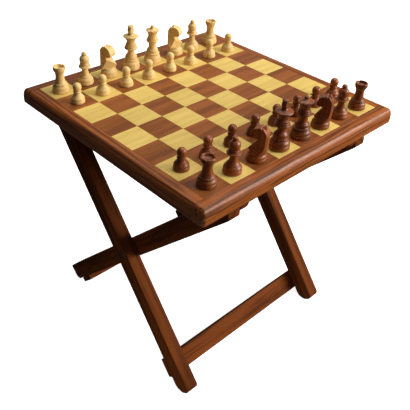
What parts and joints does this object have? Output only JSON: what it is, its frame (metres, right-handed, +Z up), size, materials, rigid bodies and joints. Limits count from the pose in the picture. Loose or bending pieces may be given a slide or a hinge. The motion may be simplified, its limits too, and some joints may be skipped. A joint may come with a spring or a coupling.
{
  "type": "folding chess table with chess pieces",
  "caption": "Square chess board as the top of a folding table with crossed wooden legs, set out with turned light and dark chess pieces.",
  "frame": {"origin": "on the floor, under the middle of the table top", "axes": "+Z up; +Y from the dark player to the light player; +X to the dark player's right"},
  "size_m": [0.444, 0.444, 0.5393],
  "materials": {
    "dark_wood": "satin lacquered reddish-brown hardwood",
    "dark_piece_wood": "polished reddish-brown hardwood",
    "board_wood": "satin inlay of light and dark wood squares",
    "light_wood": "polished pale yellow wood",
    "steel": "zinc plated steel"
  },
  "bodies": {
    "table_top": {"playing_board_core": "dark_wood", "chessboard_veneer": "board_wood", "border_rail_dark_side": "dark_wood", "border_rail_light_side": "dark_wood", "border_rail_left": "dark_wood", "border_rail_right": "dark_wood", "under_batten_left": "dark_wood", "under_batten_right": "dark_wood", "batten_screw_1": "steel", "batten_screw_2": "steel", "batten_screw_3": "steel", "batten_screw_4": "steel", "hinge_bolt_left": "steel", "hinge_bolt_right": "steel", "hinge_nut_left": "steel", "hinge_nut_right": "steel"},
    "inner_frame": {"inner_leg_left": "dark_wood", "inner_leg_right": "dark_wood", "inner_stretcher": "dark_wood"},
    "outer_frame": {"outer_leg_left": "dark_wood", "outer_leg_right": "dark_wood", "outer_stretcher": "dark_wood", "pivot_bolt_left": "steel", "pivot_bolt_right": "steel", "pivot_nut_left": "steel", "pivot_nut_right": "steel", "pivot_washer_left": "steel", "pivot_washer_right": "steel"},
    "light_rook_left": {"light_rook_left": "light_wood"},
    "light_bishop_left": {"light_bishop_left": "light_wood"},
    "light_knight_left": {"light_knight_left": "light_wood"},
    "light_king": {"light_king": "light_wood"},
    "light_queen": {"light_queen": "light_wood"},
    "light_knight_right": {"light_knight_right": "light_wood"},
    "light_bishop_right": {"light_bishop_right": "light_wood"},
    "light_rook_right": {"light_rook_right": "light_wood"},
    "light_pawn_1": {"light_pawn_1": "light_wood"},
    "light_pawn_2": {"light_pawn_2": "light_wood"},
    "light_pawn_3": {"light_pawn_3": "light_wood"},
    "light_pawn_4": {"light_pawn_4": "light_wood"},
    "light_pawn_5": {"light_pawn_5": "light_wood"},
    "light_pawn_6": {"light_pawn_6": "light_wood"},
    "light_pawn_7": {"light_pawn_7": "light_wood"},
    "light_pawn_8": {"light_pawn_8": "light_wood"},
    "dark_rook_left": {"dark_rook_left": "dark_piece_wood"},
    "dark_bishop_left": {"dark_bishop_left": "dark_piece_wood"},
    "dark_knight_left": {"dark_knight_left": "dark_piece_wood"},
    "dark_king": {"dark_king": "dark_piece_wood"},
    "dark_queen": {"dark_queen": "dark_piece_wood"},
    "dark_knight_right": {"dark_knight_right": "dark_piece_wood"},
    "dark_bishop_right": {"dark_bishop_right": "dark_piece_wood"},
    "dark_rook_right": {"dark_rook_right": "dark_piece_wood"},
    "dark_pawn_1": {"dark_pawn_1": "dark_piece_wood"},
    "dark_pawn_2": {"dark_pawn_2": "dark_piece_wood"},
    "dark_pawn_3": {"dark_pawn_3": "dark_piece_wood"},
    "dark_pawn_4": {"dark_pawn_4": "dark_piece_wood"},
    "dark_pawn_5": {"dark_pawn_5": "dark_piece_wood"},
    "dark_pawn_6": {"dark_pawn_6": "dark_piece_wood"},
    "dark_pawn_7": {"dark_pawn_7": "dark_piece_wood"},
    "dark_pawn_8": {"dark_pawn_8": "dark_piece_wood"}
  },
  "joints": [
    {"name": "inner_leg_hinge", "type": "hinge", "parent": "table_top", "child": "inner_frame", "pos_m": [0, -0.19585, 0.4167], "axis": [1, 0, 0], "range_deg": [0, 44.3]},
    {"name": "leg_cross_pivot", "type": "hinge", "parent": "inner_frame", "child": "outer_frame", "pos_m": [0, 0, 0.216], "axis": [-1, 0, 0], "range_deg": [0, 96.31]},
    {"name": "light_rook_left_lift", "type": "slide", "parent": "table_top", "child": "light_rook_left", "axis": [0, 0, 1], "range_m": [0, 0.09]},
    {"name": "light_bishop_left_lift", "type": "slide", "parent": "table_top", "child": "light_bishop_left", "axis": [0, 0, 1], "range_m": [0, 0.09]},
    {"name": "light_knight_left_lift", "type": "slide", "parent": "table_top", "child": "light_knight_left", "axis": [0, 0, 1], "range_m": [0, 0.09]},
    {"name": "light_king_lift", "type": "slide", "parent": "table_top", "child": "light_king", "axis": [0, 0, 1], "range_m": [0, 0.09]},
    {"name": "light_queen_lift", "type": "slide", "parent": "table_top", "child": "light_queen", "axis": [0, 0, 1], "range_m": [0, 0.09]},
    {"name": "light_knight_right_lift", "type": "slide", "parent": "table_top", "child": "light_knight_right", "axis": [0, 0, 1], "range_m": [0, 0.09]},
    {"name": "light_bishop_right_lift", "type": "slide", "parent": "table_top", "child": "light_bishop_right", "axis": [0, 0, 1], "range_m": [0, 0.09]},
    {"name": "light_rook_right_lift", "type": "slide", "parent": "table_top", "child": "light_rook_right", "axis": [0, 0, 1], "range_m": [0, 0.09]},
    {"name": "light_pawn_1_lift", "type": "slide", "parent": "table_top", "child": "light_pawn_1", "axis": [0, 0, 1], "range_m": [0, 0.09]},
    {"name": "light_pawn_2_lift", "type": "slide", "parent": "table_top", "child": "light_pawn_2", "axis": [0, 0, 1], "range_m": [0, 0.09]},
    {"name": "light_pawn_3_lift", "type": "slide", "parent": "table_top", "child": "light_pawn_3", "axis": [0, 0, 1], "range_m": [0, 0.09]},
    {"name": "light_pawn_4_lift", "type": "slide", "parent": "table_top", "child": "light_pawn_4", "axis": [0, 0, 1], "range_m": [0, 0.09]},
    {"name": "light_pawn_5_lift", "type": "slide", "parent": "table_top", "child": "light_pawn_5", "axis": [0, 0, 1], "range_m": [0, 0.09]},
    {"name": "light_pawn_6_lift", "type": "slide", "parent": "table_top", "child": "light_pawn_6", "axis": [0, 0, 1], "range_m": [0, 0.09]},
    {"name": "light_pawn_7_lift", "type": "slide", "parent": "table_top", "child": "light_pawn_7", "axis": [0, 0, 1], "range_m": [0, 0.09]},
    {"name": "light_pawn_8_lift", "type": "slide", "parent": "table_top", "child": "light_pawn_8", "axis": [0, 0, 1], "range_m": [0, 0.09]},
    {"name": "dark_rook_left_lift", "type": "slide", "parent": "table_top", "child": "dark_rook_left", "axis": [0, 0, 1], "range_m": [0, 0.09]},
    {"name": "dark_bishop_left_lift", "type": "slide", "parent": "table_top", "child": "dark_bishop_left", "axis": [0, 0, 1], "range_m": [0, 0.09]},
    {"name": "dark_knight_left_lift", "type": "slide", "parent": "table_top", "child": "dark_knight_left", "axis": [0, 0, 1], "range_m": [0, 0.09]},
    {"name": "dark_king_lift", "type": "slide", "parent": "table_top", "child": "dark_king", "axis": [0, 0, 1], "range_m": [0, 0.09]},
    {"name": "dark_queen_lift", "type": "slide", "parent": "table_top", "child": "dark_queen", "axis": [0, 0, 1], "range_m": [0, 0.09]},
    {"name": "dark_knight_right_lift", "type": "slide", "parent": "table_top", "child": "dark_knight_right", "axis": [0, 0, 1], "range_m": [0, 0.09]},
    {"name": "dark_bishop_right_lift", "type": "slide", "parent": "table_top", "child": "dark_bishop_right", "axis": [0, 0, 1], "range_m": [0, 0.09]},
    {"name": "dark_rook_right_lift", "type": "slide", "parent": "table_top", "child": "dark_rook_right", "axis": [0, 0, 1], "range_m": [0, 0.09]},
    {"name": "dark_pawn_1_lift", "type": "slide", "parent": "table_top", "child": "dark_pawn_1", "axis": [0, 0, 1], "range_m": [0, 0.09]},
    {"name": "dark_pawn_2_lift", "type": "slide", "parent": "table_top", "child": "dark_pawn_2", "axis": [0, 0, 1], "range_m": [0, 0.09]},
    {"name": "dark_pawn_3_lift", "type": "slide", "parent": "table_top", "child": "dark_pawn_3", "axis": [0, 0, 1], "range_m": [0, 0.09]},
    {"name": "dark_pawn_4_lift", "type": "slide", "parent": "table_top", "child": "dark_pawn_4", "axis": [0, 0, 1], "range_m": [0, 0.09]},
    {"name": "dark_pawn_5_lift", "type": "slide", "parent": "table_top", "child": "dark_pawn_5", "axis": [0, 0, 1], "range_m": [0, 0.09]},
    {"name": "dark_pawn_6_lift", "type": "slide", "parent": "table_top", "child": "dark_pawn_6", "axis": [0, 0, 1], "range_m": [0, 0.09]},
    {"name": "dark_pawn_7_lift", "type": "slide", "parent": "table_top", "child": "dark_pawn_7", "axis": [0, 0, 1], "range_m": [0, 0.09]},
    {"name": "dark_pawn_8_lift", "type": "slide", "parent": "table_top", "child": "dark_pawn_8", "axis": [0, 0, 1], "range_m": [0, 0.09]}
  ],
  "couplings": [
    {"joint": "leg_cross_pivot", "follows": "inner_leg_hinge", "ratio": 2.1739}
  ]
}
